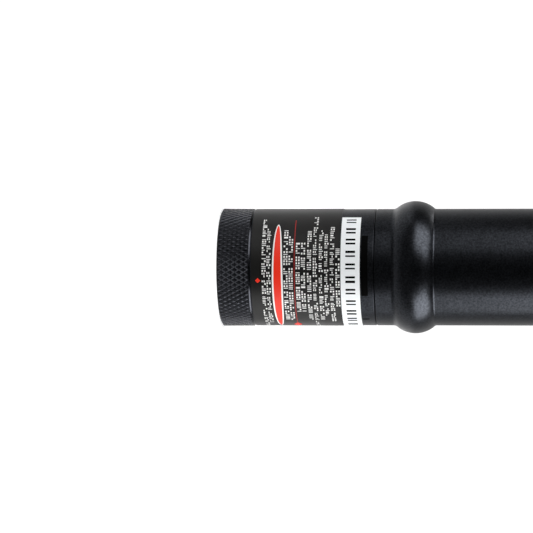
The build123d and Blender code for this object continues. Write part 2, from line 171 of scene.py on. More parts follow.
def turnedDisc(points, columns=192):  # open outline that starts and ends on the axis
    angles = np.arange(columns) * 2 * pi / columns
    return betweenPoles(around(points[1:-1], angles), (0, 0, points[0, 1]), (0, 0, points[-1, 1]))


def turnedArc(points, start, end, columns):  # closed outline turned part of the way, with flat ends
    angles = np.radians(np.linspace(start, end, columns + 1) + front)
    index = np.arange(len(points) * (columns + 1)).reshape(len(points), columns + 1)
    walls = gridFaces(np.vstack((index, index[:1])), closed=False)
    return around(points, angles).reshape(-1, 3), [walls, index[None, :, 0], index[None, ::-1, -1]]


def arcPoints(centre, radius, start, end, steps):  # on a circle, angles from the radius axis, in degrees
    t = np.radians(np.linspace(start, end, steps + 1))
    return np.column_stack((centre[0] + radius * np.cos(t), centre[1] + radius * np.sin(t)))


# Materials of the shell

def anodisedMetal(name, look):
    # Black anodised aluminium. The dye takes nearly all diffuse light, so what shows is a soft bluish
    # sheen, speckled by the dents of blasting or the marks of the knurling wheel, and uneven in patches.
    material, tree = newMaterial(name)
    place = addNode(tree, "ShaderNodeTexCoord").outputs["Object"]
    dents = addNode(tree, "ShaderNodeTexNoise", {"Vector": place, "Scale": 1 / (look["dent"] * mm),
                                                "Detail": 2.0, "Roughness": 0.6})
    patches = addNode(tree, "ShaderNodeTexNoise", {"Vector": place, "Scale": 1 / (look["patch"] * mm),
                                                  "Detail": 3.0})
    bump = addNode(tree, "ShaderNodeBump", {"Height": dents.outputs["Fac"], "Strength": 1.0,
                                            "Distance": look["depth"] * mm})
    rough = addNode(tree, "ShaderNodeMapRange", {
        "Value": patches.outputs["Fac"], "From Min": noiseLow, "From Max": noiseHigh,
        "To Min": look["roughness"] - look["uneven"], "To Max": look["roughness"] + look["uneven"]})
    tone = addNode(tree, "ShaderNodeMapRange", {
        "Value": dents.outputs["Fac"], "From Min": noiseLow, "From Max": noiseHigh,
        "To Min": 1 - look["speckle"], "To Max": 1 + look["speckle"]})
    dye = addNode(tree, "ShaderNodeHueSaturation", {"Color": linear(look["colour"]),
                                                    "Value": tone.outputs["Result"]})
    shade = addNode(tree, "ShaderNodeBsdfPrincipled", {
        "Base Color": dye.outputs["Color"], "Metallic": 1.0, "Roughness": rough.outputs["Result"],
        "Normal": bump.outputs["Normal"]})
    addNode(tree, "ShaderNodeOutputMaterial", {"Surface": shade.outputs["BSDF"]})
    return material


# A dent's width and depth and a patch's width are in mm. Real dents are about 0.1 mm wide, too fine to show
# in the picture, so they are drawn coarser. Speckle is the share by which their tone varies.
blasted = {"colour": "303236", "roughness": 0.31, "uneven": 0.02, "dent": 0.34, "depth": 0.006,
           "speckle": 0.4, "patch": 1.6}
rolled = {"colour": "343539", "roughness": 0.24, "uneven": 0.02, "dent": 0.3, "depth": 0.002,
          "speckle": 0.2, "patch": 0.8}


def printedCoat(name, colour, roughness, grain=0.12, depth=0.001, mottle=0.06, specular=0.5):
    # Vinyl film, tape and screen ink: a flat, faintly mottled colour under a skin with a fine orange peel
    material, tree = newMaterial(name)
    place = addNode(tree, "ShaderNodeTexCoord").outputs["Object"]
    peel = addNode(tree, "ShaderNodeTexNoise", {"Vector": place, "Scale": 1 / (grain * mm), "Detail": 2.0})
    bump = addNode(tree, "ShaderNodeBump", {"Height": peel.outputs["Fac"], "Strength": 1.0,
                                            "Distance": depth * mm})
    tone = addNode(tree, "ShaderNodeMapRange", {
        "Value": peel.outputs["Fac"], "From Min": noiseLow, "From Max": noiseHigh,
        "To Min": 1 - mottle, "To Max": 1.0})
    paint = addNode(tree, "ShaderNodeHueSaturation", {"Color": linear(colour),
                                                      "Value": tone.outputs["Result"]})
    shade = addNode(tree, "ShaderNodeBsdfPrincipled", {
        "Base Color": paint.outputs["Color"], "Roughness": roughness,
        "Specular IOR Level": specular, "Normal": bump.outputs["Normal"]})
    addNode(tree, "ShaderNodeOutputMaterial", {"Surface": shade.outputs["BSDF"]})
    return material


def turnedMetal(name, colour, roughness=0.25, line=0.12, depth=0.002):
    # Turned brass, aluminium and plated metal: rings from the lathe tool, about 0.12 mm apart. The pattern
    # reads height and radius, so its rings run round the axis on walls and on faces.
    material, tree = newMaterial(name)
    place = addNode(tree, "ShaderNodeTexCoord").outputs["Object"]
    parts = addNode(tree, "ShaderNodeSeparateXYZ", {"Vector": place})
    flat = addNode(tree, "ShaderNodeCombineXYZ", {"X": parts.outputs["X"], "Y": parts.outputs["Y"]})
    radius = addNode(tree, "ShaderNodeVectorMath", {"Vector": flat.outputs["Vector"]}, operation="LENGTH")
    polar = addNode(tree, "ShaderNodeCombineXYZ", {"X": radius.outputs["Value"], "Y": parts.outputs["Z"]})
    rings = addNode(tree, "ShaderNodeTexNoise", {"Vector": polar.outputs["Vector"],
                                                "Scale": 1 / (line * mm), "Detail": 1.0})
    bump = addNode(tree, "ShaderNodeBump", {"Height": rings.outputs["Fac"], "Strength": 0.4,
                                            "Distance": depth * mm})
    shade = addNode(tree, "ShaderNodeBsdfPrincipled", {
        "Base Color": linear(colour), "Metallic": 1.0, "Roughness": roughness,
        "Normal": bump.outputs["Normal"]})
    addNode(tree, "ShaderNodeOutputMaterial", {"Surface": shade.outputs["BSDF"]})
    return material


def mouldedPart(name, colour, roughness, grain=0.15, depth=0.003, uneven=0.04, coat=0.0):
    # Moulded rubber, plastic, epoxy and ferrite: one colour through and through, with a fine skin texture
    material, tree = newMaterial(name)
    place = addNode(tree, "ShaderNodeTexCoord").outputs["Object"]
    pores = addNode(tree, "ShaderNodeTexNoise", {"Vector": place, "Scale": 1 / (grain * mm), "Detail": 3.0})
    bump = addNode(tree, "ShaderNodeBump", {"Height": pores.outputs["Fac"], "Strength": 0.6,
                                            "Distance": depth * mm})
    rough = addNode(tree, "ShaderNodeMapRange", {
        "Value": pores.outputs["Fac"], "From Min": noiseLow, "From Max": noiseHigh,
        "To Min": roughness - uneven, "To Max": roughness + uneven})
    shade = addNode(tree, "ShaderNodeBsdfPrincipled", {
        "Base Color": linear(colour), "Roughness": rough.outputs["Result"], "Coat Weight": coat,
        "Normal": bump.outputs["Normal"]})
    addNode(tree, "ShaderNodeOutputMaterial", {"Surface": shade.outputs["BSDF"]})
    return material


def polishedGlass(name, colour, ior, patch=2.0, roughness=(0.01, 0.04)):
    # Polished optics: clear, with the faint unevenness of a thin coating in the roughness alone
    material, tree = newMaterial(name)
    place = addNode(tree, "ShaderNodeTexCoord").outputs["Object"]
    coat = addNode(tree, "ShaderNodeTexNoise", {"Vector": place, "Scale": 1 / (patch * mm)})
    rough = addNode(tree, "ShaderNodeMapRange", {
        "Value": coat.outputs["Fac"], "To Min": roughness[0], "To Max": roughness[1]})
    shade = addNode(tree, "ShaderNodeBsdfPrincipled", {
        "Base Color": linear(colour), "Roughness": rough.outputs["Result"], "IOR": ior,
        "Transmission Weight": 1.0})
    addNode(tree, "ShaderNodeOutputMaterial", {"Surface": shade.outputs["BSDF"]})
    return material


anodise = anodisedMetal("blastedAnodise", blasted)
knurlFinish = anodisedMetal("knurledAnodise", rolled)
film = printedCoat("matteVinylFilm", "0B0A09", 0.36, specular=0.4)
tapeSkin = printedCoat("laminatedTape", "F4F7F9", 0.4, specular=0.9)
whiteInk = printedCoat("whiteScreenInk", "F0F0EE", 0.5)
redInk = printedCoat("redScreenInk", "EA2A0C", 0.45)
darkRedInk = printedCoat("redLineInk", "A81C14", 0.45)
flatBlack = printedCoat("flatBlackMarks", "020202", 0.5, specular=0.03)
windowGlass = polishedGlass("coatedWindowGlass", "DCEEE4", 1.52)
rubber = mouldedPart("mouldedSiliconeRubber", "151516", 0.6)
print("materials ready")


# Knurled pieces. The offsets are where the mesh has lines between one groove and the next.

knurl = {"count": 72, "length": 1.64, "height": 0.15, "depth": 0.09, "flank": 0.11, "relief": 0.1,
         "halfRows": 7, "offsets": (0, 0.03, 0.095, 0.13, 0.5, 0.87, 0.905, 0.97)}
knurlRoot = tubeRadius + knurl["height"] - knurl["depth"]
bandRim = knurlRoot - knurl["relief"]
bandLength = knurl["halfRows"] * knurl["length"] / 2


def knurledPiece(base, inside):
    # Two families of slanting grooves: u = turn + rise and v = turn - rise, counted in grooves, are whole
    # numbers along them. Radius = root + depth * min(1, distance to the nearest groove / flank). The mesh
    # follows u and v, and the inside outline closes it from the band's back round to its front.
    offsets = np.array(knurl["offsets"])
    fine = len(offsets)
    total, levels = knurl["count"] * fine, knurl["halfRows"] * fine
    b, k = np.arange(total)[:, None], np.arange(levels + 1)[None, :]

    def groovePlace(i):
        return i // fine + offsets[i % fine]

    u, v = np.broadcast_arrays(groovePlace(b + k), groovePlace(b))
    near = np.minimum(np.abs(u - np.rint(u)), np.abs(v - np.rint(v)))
    r = knurlRoot + knurl["depth"] * np.minimum(1, near / knurl["flank"])
    angle = (u + v) / 2 * 2 * pi / knurl["count"]
    z = base + (u - v) / 2 * knurl["length"]
    band = np.stack((r * np.cos(angle), r * np.sin(angle), z), -1).reshape(-1, 3)
    index = np.arange(total * (levels + 1)).reshape(total, levels + 1)
    ahead = np.roll(index, -1, 0)
    faces = [np.stack((index[:, 1:-1], ahead[:, :-2], ahead[:, 1:-1], index[:, 2:]), -1).reshape(-1, 4),
             np.stack((index[:, 0], ahead[:, 0], index[:, 1]), -1),
             np.stack((index[:, -1], ahead[:, -2], ahead[:, -1]), -1)]
    half = len(inside) // 2  # rings up to here line up with the band's back, the others with its front
    shift = levels // 2
    rings = np.vstack((around(inside[:half], angle[:, -1]).reshape(-1, 3),
                       around(inside[half:], np.roll(angle[:, 0], -shift)).reshape(-1, 3)))
    ringIndex = len(band) + np.arange(len(rings)).reshape(len(inside), total)
    loop = np.vstack((index[:, -1], ringIndex, np.roll(index[:, 0], -shift)))
    return np.vstack((band, rings)), [*faces, gridFaces(loop)]


bezel = {"frontChamfer": 0.25, "rearDrop": 0.11, "aperture": 4.5, "recess": 7.0, "recessDepth": 0.9,
         "wall": 1.5, "edge": 0.06}


def knurledBezel():
    # The knurled band, closed behind by the ring's flat face, inside by the bore over the head's nose and
    # the window's seat, and in front by the sloping recess round the aperture
    e, base = bezel["edge"], bezel["frontChamfer"]
    bore, seat = tubeRadius - bezel["wall"] + fit, windowRadius + fit
    inside = outline([
        (bandRim, base + bandLength, 0), (bandRim - bezel["rearDrop"], bezelBack, e), (bore, bezelBack, e),
        (bore, headFront, e), (seat, headFront, e), (seat, windowFront, e),
        (bezel["aperture"], windowFront, e), (bezel["aperture"], bezel["recessDepth"], e),
        (bezel["recess"], 0, e), (bandRim - base, 0, e), (bandRim, base, 0)], steps=2, margin=0.04)
    ring = addPiece("knurled_bezel", *knurledPiece(base, inside), knurlFinish, "barrel", "anodised_knurl")
    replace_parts(ring, "bezel_ring")


knurledBezel()
print("bezel done")


# Head, window and grip tube

head = {"lip": 6.2, "spigot": 9.9, "edge": 0.1, "sharp": 0.05, "seamChamfer": 0.15}


def printedHead():
    # Turned shell: a nose under the bezel, the printed wall, a spigot into the tube, the module's bore, and
    # a lip between the module and the window's gasket
    e, s, c = head["edge"], head["sharp"], head["seamChamfer"]
    nose, bore = tubeRadius - bezel["wall"], moduleRadius + fit
    points, faces = turnedRing(outline([
        (nose, headFront, e), (nose, bezelBack, s), (tubeRadius, bezelBack, e), (tubeRadius, seam - c, s),
        (tubeRadius - c, seam, s), (head["spigot"], seam, s), (head["spigot"], headEnd, e),
        (bore, headEnd, e), (bore, moduleFront, s), (head["lip"], moduleFront, e),
        (head["lip"], gasketBack, e), (windowRadius, gasketBack, s), (windowRadius, headFront, e)]))
    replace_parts(addPiece("printed_head", points, faces, anodise, "barrel", "anodised_black"), "head_shell")


grip = {"collar": 3.55, "length": 7.45, "frontFillet": 1.2, "rearFillet": 0.5, "margin": 0.1,
        "socketRoom": 0.5}
# Crest, root and fade are in pitches, and the plain wall beside the thread is in mm.
thread = {"pitch": 1.0, "wall": 0.85, "depth": 0.54, "crest": 0.125, "root": 0.25, "fade": 0.6,
          "turns": 5, "spareRows": 6, "columns": 160, "start": 0.05, "plain": 0.08, "chamfer": 0.12,
          "edge": 0.03}
boreRadius = insulatorRadius + fit
threadRadius = boreRadius + thread["wall"]
threadRoot = threadRadius - thread["depth"]


def domedGrip():
    # The ring's dome is an arc through its two feet and its crown. A fillet of radius f that leads into it
    # touches the tube where (dome + f)^2 = (tube + f - dome's centre)^2 + (distance along the axis)^2.
    height = gripRadius - tubeRadius
    dome = (grip["length"] ** 2 / 4 + height ** 2) / (2 * height)
    centre = (gripRadius - dome, seam + grip["collar"] + grip["length"] / 2)
    f = np.array([grip["frontFillet"], grip["rearFillet"]])
    rise = tubeRadius + f - centre[0]
    away = np.sqrt((dome + f) ** 2 - rise ** 2)
    turn = np.degrees(np.arctan2(away, rise))
    return np.vstack((
        (tubeRadius, centre[1] - away[0] - grip["margin"]),
        arcPoints((tubeRadius + f[0], centre[1] - away[0]), f[0], 180, 180 - turn[0], steps=10),
        arcPoints(centre, dome, -turn[0], turn[1], steps=40)[1:-1],
        arcPoints((tubeRadius + f[1], centre[1] + away[1]), f[1], 180 + turn[1], 180, steps=8),
        (tubeRadius, centre[1] + away[1] + grip["margin"])))


def threadedRing(points):
    # Closes an outline that ends in front of a thread and starts behind it. The thread's rows climb one
    # pitch in each turn, so the last column meets the first one turn of rows further on, and one face with
    # many corners closes the step at either end. Radius = root + depth * tooth * fade, where the tooth
    # has 60 degree flanks between its flat crest and its flat root.
    columns = thread["columns"]
    crest, root = thread["crest"] / 2, (1 - thread["root"]) / 2  # edges, in pitches from a crest's middle
    flank = (crest + root) / 2
    phases = np.array((0, crest, flank, root, 0.5, 1 - root, 1 - flank, 1 - crest))
    perTurn = len(phases)
    rows = np.arange(thread["turns"] * perTurn + thread["spareRows"])
    angles = np.arange(columns) * 2 * pi / columns
    start = points[-1, 1] + thread["start"]
    turns = (rows // perTurn + phases[rows % perTurn])[:, None]
    z = start + thread["pitch"] * (turns + angles / (2 * pi))
    offCrest = np.abs(turns - np.rint(turns))
    tooth = np.clip((root - offCrest) / (root - crest), 0, 1)
    low, high = start + thread["pitch"], z[-1, 0]
    fade = np.clip(np.minimum(z - low, high - z) / (thread["fade"] * thread["pitch"]), 0, 1)
    r = threadRoot + thread["depth"] * tooth * fade
    helix = np.stack((r * np.cos(angles), r * np.sin(angles), z), -1)
    rings = around(points, angles)
    i = np.arange(rings.size // 3).reshape(rings.shape[:2])
    h = i.size + np.arange(helix.size // 3).reshape(helix.shape[:2])
    last = len(rows) - 1
    wrap = np.stack((h[:-1 - perTurn, -1], h[perTurn:-1, 0], h[perTurn + 1:, 0], h[1:-perTurn, -1]), 1)
    frontStep = np.concatenate(([i[-1, -1], i[-1, 0]], h[:perTurn + 1, 0], [h[0, -1]]))
    backStep = np.concatenate(([h[last - perTurn, -1], h[last, 0], i[0, 0], i[0, -1]],
                               h[last:last - perTurn:-1, -1]))
    faces = [gridFaces(i), gridFaces(np.vstack((i[-1:], h, i[:1])), closed=False), wrap,
             frontStep[None], backStep[None]]
    return np.vstack((rings.reshape(-1, 3), helix.reshape(-1, 3))), faces


def gripTube():
    # Turned tube: a socket for the head's spigot, the collar, the domed ring, the long plain wall and the
    # threaded neck for the cap
    e, s, c = head["edge"], head["sharp"], head["seamChamfer"]
    socket, socketEnd = head["spigot"] + fit, headEnd + grip["socketRoom"]
    plain, cut, t = thread["plain"], thread["chamfer"], thread["edge"]
    dome = domedGrip()
    wall = outline([
        (threadRoot, threadEnd - cut - plain, 0), (threadRoot, threadEnd - cut, 0),
        (threadRoot - cut, threadEnd, t), (boreRadius, threadEnd, t), (boreRadius, socketEnd, e),
        (socket, socketEnd, s), (socket, seam, e), (tubeRadius - c, seam, s), (tubeRadius, seam + c, s),
        (tubeRadius, capFront - c, s), (tubeRadius - c, capFront, s), (threadRoot, capFront, t),
        (threadRoot, capFront + plain, 0)], margin=0.05)
    outside = np.flatnonzero((wall[:, 0] > tubeRadius - tiny) & (wall[:, 1] < dome[0, 1]))
    points, faces = threadedRing(np.insert(wall, outside[-1] + 1, dome, axis=0))
    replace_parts(addPiece("grip_tube", points, faces, anodise, "barrel", "anodised_black"), "battery_tube")


printedHead()
gripTube()
print("head and tube done")


window = {"edge": 0.1}


def frontWindow():
    # Flat round glass with lightly rounded edges
    e = window["edge"]
    half = outline([(0, windowFront, 0), (windowRadius, windowFront, e), (windowRadius, windowBack, e),
                    (0, windowBack, 0)])
    points, faces = turnedDisc(half)
    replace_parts(addPiece("front_window", points, faces, windowGlass, "barrel", "window_glass"), "window")


frontWindow()


# Film and tape on the head, and what is printed on them. Places round the head are degrees from the front
# towards +X.

skin = {"gap": 0.02, "ink": 0.02, "sunk": 0.01}
label = {"filmTurn": 350, "filmColumns": 240, "tapeStart": -57, "tapeEnd": 100, "tapeColumns": 120}


def wrapped(name, low, high, start, end, columns, material, slotName, node):
    # A strip as thick as the film, laid part of the way round the head
    inner = tubeRadius + skin["gap"]
    edge = outline([(inner, low, 0), (filmOuter, low, 0), (filmOuter, high, 0), (inner, high, 0)])
    points, faces = turnedArc(edge, start, end, columns)
    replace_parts(addPiece(name, points, faces, material, "barrel", slotName), node)


wrapped("label_panel", filmFront, filmBack, -label["filmTurn"] / 2, label["filmTurn"] / 2,
        label["filmColumns"], film, "printed_film", "label_film")
wrapped("white_tape_strip", tapeFront, tapeBack, label["tapeStart"], label["tapeEnd"],
        label["tapeColumns"], tapeSkin, "white_tape", "number_strip")


def slabs(starts, ends, lows, highs, radius=filmOuter, columns=1):
    # Thin closed bars printed on a round wall, each between two angles (degrees) and two heights (mm)
    starts, ends, lows, highs = (np.asarray(a, float).reshape(-1, 1, 1, 1)
                                 for a in (starts, ends, lows, highs))
    t = np.linspace(0, 1, columns + 1)[None, :, None, None]
    h = np.array([0, 1])[None, None, :, None]
    r = np.array([radius - skin["sunk"], radius + skin["ink"]])
    angle = np.radians(front + starts + (ends - starts) * t)
    angle, z, r = np.broadcast_arrays(angle, lows + (highs - lows) * h, r)
    points = np.stack((r * np.cos(angle), r * np.sin(angle), z), -1).reshape(-1, 3)
    index = np.arange(len(points)).reshape(-1, columns + 1, 2, 2)
    loop = index.reshape(-1, columns + 1, 4)[..., [0, 1, 3, 2]]  # the four corners of each cross-section
    here, there = loop[:, :-1], loop[:, 1:]
    sides = np.stack((here, there, np.roll(there, -1, -1), np.roll(here, -1, -1)), -1).reshape(-1, 4)
    return points, [sides, loop[:, 0], loop[:, -1, ::-1]]


printRows = {
    "tall": 0.75, "low": 0.54, "bar": 0.14, "block": 0.34, "square": 0.36, "gap": (0.16, 0.24),
    "space": 0.6, "word": (2, 10), "seed": 7,
    # shares of bars, blocks, two squares, a low square and a high square
    "kinds": (0.48, 0.04, 0.26, 0.11, 0.11),
    # height of the middle of each row in mm, where it starts and ends, and its share of tall marks
    "rows": [(8.9, -53, 82, 0.6), (9.8, -40, 68, 0.25), (12.97, -38, 62, 1.0), (13.93, -31, 62, 1.0),
             (15.25, -24, 48, 1.0), (16.23, -24, 48, 1.0), (17.36, -37, 62, 1.0), (18.45, -57, 80, 0.3),
             (19.55, -38, 64, 0.35), (20.57, -33, 54, 0.25), (21.6, -42, 66, 0.6), (22.65, -18, 40, 1.0)]}


def plainMark(kind, height):
    # Rectangles (left, right, foot, top) of one mark: a bar, a block, two small squares, or one of them
    bar, block = printRows["bar"], printRows["block"]
    side = printRows["square"] * height
    low, high = (0, block, 0, side), (0, block, height - side, height)
    return [[(0, bar, 0, height)], [(0, block, 0, height)], [low, high], [low], [high]][kind]


def whitePrint():
    # Rows of plain marks in the place of small print. Their kind, width and height are drawn at random.
    draw = np.random.default_rng(printRows["seed"])
    bars = []
    perMm = np.degrees(1 / filmOuter)
    for middle, start, end, tallShare in printRows["rows"]:
        place, left = start, 0
        foot = middle - printRows["tall"] / 2
        while place < end:
            left = left - 1 if left else draw.integers(*printRows["word"])
            height = printRows["tall"] if draw.random() < tallShare else printRows["low"]
            mark = plainMark(draw.choice(len(printRows["kinds"]), p=printRows["kinds"]), height)
            bars += [(place + a * perMm, place + b * perMm, foot + c, foot + d) for a, b, c, d in mark]
            gap = draw.uniform(*printRows["gap"]) if left else printRows["space"]
            place += (mark[0][1] + gap) * perMm
    addPiece("white_print", *slabs(*zip(*bars)), whiteInk, "barrel")


def roundPatch(angle, middle, halfLength, halfHeight, power, proud, rings=24, columns=160):
    # Closed patch on the film. Its rim is |arc / a|^power + |height / b|^power = 1, an oval at 2 and a
    # diamond at 1, and the rings inside it are the rim scaled by s.
    t = np.arange(columns) * 2 * pi / columns
    s = np.linspace(0, 1, rings + 1)[1:, None]
    x = np.sign(np.cos(t)) * np.abs(np.cos(t)) ** (2 / power)
    y = np.sign(np.sin(t)) * np.abs(np.sin(t)) ** (2 / power)
    turn = radians(front + angle)

    def onHead(radius, arc, height):
        place = turn + arc / filmOuter
        return np.stack((radius * np.cos(place), radius * np.sin(place), middle + height), -1)
    low, high = filmOuter - skin["sunk"], filmOuter + proud
    sheets = [onHead(r, halfLength * s * x, halfHeight * s * y) for r in (low, high)]
    return betweenPoles(np.vstack((sheets[0], sheets[1][::-1])),
                        *(onHead(r, 0.0, 0.0) for r in (low, high)))


oval, diamond = 2, 1  # powers of a patch's rim
sign = {"angle": 16.5, "middle": 11.42, "halfLength": 11.7, "halfHeight": 0.7, "border": 0.32}
redLine = {"height": 14.6, "start": -52, "end": 73, "width": 0.12, "columns": 60}
arrow = {"beyond": 2, "halfLength": 1.1, "halfHeight": 0.75}
spot = {"angle": 13, "middle": 7.76, "half": 0.48}


def redMarks():
    # The oval and the arrow are printed over other ink, so they stand out by two layers
    angle, middle, long, high = (sign[key] for key in ("angle", "middle", "halfLength", "halfHeight"))
    border = roundPatch(angle, middle, long + sign["border"], high + sign["border"], oval, skin["ink"])
    addPiece("oval_border", *border, whiteInk, "barrel")
    addPiece("red_oval", *roundPatch(angle, middle, long, high, oval, 2 * skin["ink"]), redInk, "barrel")
    height, end, half = redLine["height"], redLine["end"], redLine["width"] / 2
    line = slabs(redLine["start"], end, height - half, height + half, columns=redLine["columns"])
    addPiece("red_line", *line, darkRedInk, "barrel")
    tip = roundPatch(end + arrow["beyond"], height, arrow["halfLength"], arrow["halfHeight"],
                     diamond, 2 * skin["ink"], rings=6, columns=32)
    addPiece("red_arrow", *tip, redInk, "barrel")
    patch = roundPatch(spot["angle"], spot["middle"], spot["half"], spot["half"],
                       diamond, skin["ink"], rings=3, columns=24)
    addPiece("red_diamond", *patch, redInk, "barrel")


tapeMarks = {"middle": 25.0, "height": 1.8, "start": -50, "step": 12.4, "lead": 0.6, "count": 11,
             "widths": (0.28, 0.36, 0.44), "gap": 0.45, "seed": 11}
blackMarks = {"low": 27.0, "high": 28.2, "places": [(-32, 29), (61, 63)], "columns": 40}


def darkMarks():
    # Pairs of plain bars round the tape, and two flat black blocks on the bare metal behind it
    draw = np.random.default_rng(tapeMarks["seed"])
    perMm = np.degrees(1 / filmOuter)
    bars = []
    for pair in range(tapeMarks["count"]):
        place = tapeMarks["start"] + pair * tapeMarks["step"] - tapeMarks["lead"] * perMm
        for width in draw.choice(tapeMarks["widths"], 2) * perMm:
            bars.append((place, place + width))
            place += width + tapeMarks["gap"] * perMm
    starts, ends = zip(*bars)
    half = tapeMarks["height"] / 2
    low, high = np.full((2, len(bars)), tapeMarks["middle"]) + [[-half], [half]]
    addPiece("tape_marks", *slabs(starts, ends, low, high), flatBlack, "barrel")
    # two flat black blocks on the bare metal behind the tape, in the same flat black as the tape's bars
    starts, ends = zip(*blackMarks["places"])
    low, high = [blackMarks["low"]] * 2, [blackMarks["high"]] * 2
    blocks = slabs(starts, ends, low, high, tubeRadius, blackMarks["columns"])
    addPiece("black_marks", *blocks, flatBlack, "barrel")


whitePrint()
redMarks()
darkMarks()
print("print done")


# Tail cap and button

cap = {"frontPlain": 3.0, "edgeChamfer": 0.8, "endWall": 1.5, "hole": 5.5, "edge": 0.06, "sharp": 0.04,
       "rounding": 0.15, "grooveRoom": 0.25, "flangeRoom": 0.25, "ringRoom": 0.3}


def knurledCap():
    # The knurled band, closed behind by the plain end and the button's hole, inside by the switch's room,
    # the bore and the seal's groove, and in front by the plain skirt
    e, s, soft = cap["edge"], cap["sharp"], cap["rounding"]
    c, rim, relief = head["seamChamfer"], cap["edgeChamfer"], knurl["relief"]
    base = capFront + cap["frontPlain"]
    back = base + bandLength
    bore, groove = threadRadius + fit, sealRadius + fit
    grooveFront, grooveBack = sealLow - cap["grooveRoom"], sealHigh + cap["grooveRoom"]
    wallFront, ringFront = capBack - cap["endWall"], retainerFront - cap["ringRoom"]
    room, boardSeat = buttonFlange + cap["flangeRoom"], switchBoardRadius + fit
    inside = outline([
        (bandRim, back, 0), (tubeRadius, back + relief, s), (tubeRadius, capBack - rim, soft),
        (tubeRadius - rim, capBack, soft), (cap["hole"], capBack, soft), (cap["hole"], wallFront, e),
        (room, wallFront, e), (room, switchBoardBack, e), (boardSeat, switchBoardBack, e),
        (boardSeat, ringFront, e), (bore, ringFront, e), (bore, grooveBack, e), (groove, grooveBack, e),
        (groove, grooveFront, e), (bore, grooveFront, e), (bore, capFront, e),
        (tubeRadius - c, capFront, s), (tubeRadius, capFront + c, s), (tubeRadius, base - relief, s),
        (bandRim, base, 0)], steps=2, margin=0.04)
    piece = addPiece("knurled_tail_cap", *knurledPiece(base, inside), anodise, "tail_cap", "anodised_black")
    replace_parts(piece, "tail_cap")


button = {"clearance": 0.08, "edge": 0.6, "dishDepth": 0.4, "dishRim": 1.2, "flange": 1.0,
          "flangeEdge": 0.1}


def thumbButton():
    # A flanged plug with a rounded edge and a dish that is part of a ball
    radius = cap["hole"] - button["clearance"]
    dish, e, f = radius - button["dishRim"], button["edge"], button["flangeEdge"]
    ball = (dish ** 2 + button["dishDepth"] ** 2) / (2 * button["dishDepth"])
    turn = np.degrees(asin(dish / ball))
    flangeBack = buttonFront + button["flange"]
    points = np.vstack((
        [(0, buttonFront), (buttonFlange - 2 * f, buttonFront)],
        arcPoints((buttonFlange - f, buttonFront + f), f, -90, 0, steps=4),
        arcPoints((buttonFlange - f, flangeBack - f), f, 0, 90, steps=4),
        [(radius + 2 * f, flangeBack), (radius, flangeBack), (radius, buttonTop - e - f)],
        arcPoints((radius - e, buttonTop - e), e, 0, 90, steps=10),
        [(dish + f, buttonTop)],
        arcPoints((0, buttonTop - button["dishDepth"] + ball), ball, -90 + turn, -90, steps=16)))
    plug = addPiece("thumb_button", *turnedDisc(points), rubber, "tail_button", "button_rubber")
    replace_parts(plug, "tail_button")


knurledCap()
thumbButton()
print("tail done")


# Inner pieces keep their own meshes

inner = {
    "window_gasket": mouldedPart("mouldedNitrileRubber", "101010", 0.55),
    "module_barrel": turnedMetal("turnedBrass", "C8A050"),
    "lens_cell": turnedMetal("anodisedOpticMount", "303134", 0.4),
    "collimating_lens": polishedGlass("polishedLensGlass", "F2F6FA", 1.6),
    "infrared_filter": polishedGlass("blueGreenFilterGlass", "A0E0D0", 1.53),
    "laser_crystal": polishedGlass("polishedCrystal", "E8DCEC", 1.8),
    "pump_diode": turnedMetal("goldPlatedCan", "E6C27A", 0.2),
    "driver_board": mouldedPart("greenSolderMask", "12502C", 0.35, coat=0.3),
    "driver_chip": mouldedPart("mouldedEpoxy", "18181A", 0.55),
    "current_trimmer": mouldedPart("blueTrimmerCase", "1E4AA0", 0.35),
    "driver_capacitor": turnedMetal("drawnAluminiumCan", "C8CACC", 0.3),
    "driver_inductor": mouldedPart("sinteredFerrite", "3A3A3C", 0.7),
    "front_contact_spring": turnedMetal("nickelPlatedWire", "C4C4C0", 0.25),
    "contact_insulator": mouldedPart("naturalNylon", "E0DED0", 0.5),
    "battery_front": mouldedPart("shrinkWrap", "2C4A68", 0.35, coat=0.3),
    "switch_body": mouldedPart("mouldedSwitchCase", "161618", 0.5),
    "switch_plunger": mouldedPart("paleAcetal", "D0D0C8", 0.4)}
same = {
    "tail_seal": "window_gasket", "expander_holder": "lens_cell", "expander_lens": "collimating_lens",
    "crystal_holder": "module_barrel", "diode_lock_ring": "module_barrel",
    "module_lock_ring": "module_barrel", "switch_retainer": "module_barrel",
    "switch_board": "driver_board", "tail_contact_spring": "front_contact_spring",
    "battery_rear": "battery_front"}
for name in [*inner, *same]:
    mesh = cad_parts[name].data
    mesh.materials.clear()
    mesh.materials.append(inner[same.get(name, name)])
print("inner pieces done")


# Studio, in metres: a pale floor that runs up into a white backdrop, and soft boxes at both sides and behind

floor = {"height": -0.00002, "front": -1.6, "bendStart": 0.6, "bendRadius": 0.4, "top": 1.6,
         "halfWidth": 1.8, "toneY": (-0.037, 0.0), "tone": (0.1, 0.8), "fadeReach": (0.15, 0.5),
         "fade": 0.25, "mirrorY": (-0.05, 0.3), "mirror": 0.27, "shadow": 0.6}
lamps = {
    "middle": (0, 0, 0.036), "distance": 1.5,
    # direction from the front and height in degrees, width, height and brightness
    "boxes": {"rightBox": (78, 24, 1.34, 1.24, 6.8), "leftBox": (-55, 31, 1.3, 1.4, 4.7),
              "backBox": (205, 32, 1.0, 1.3, 4.0)}}
backdrop = {"dim": 0.01, "white": 1.0}  # what lights the object, and what the eye sees
view = {"lens": 167.2, "place": (-0.00012, -0.468, 0.05905), "target": (-0.00012, 0, 0.00825)}  # lens in mm


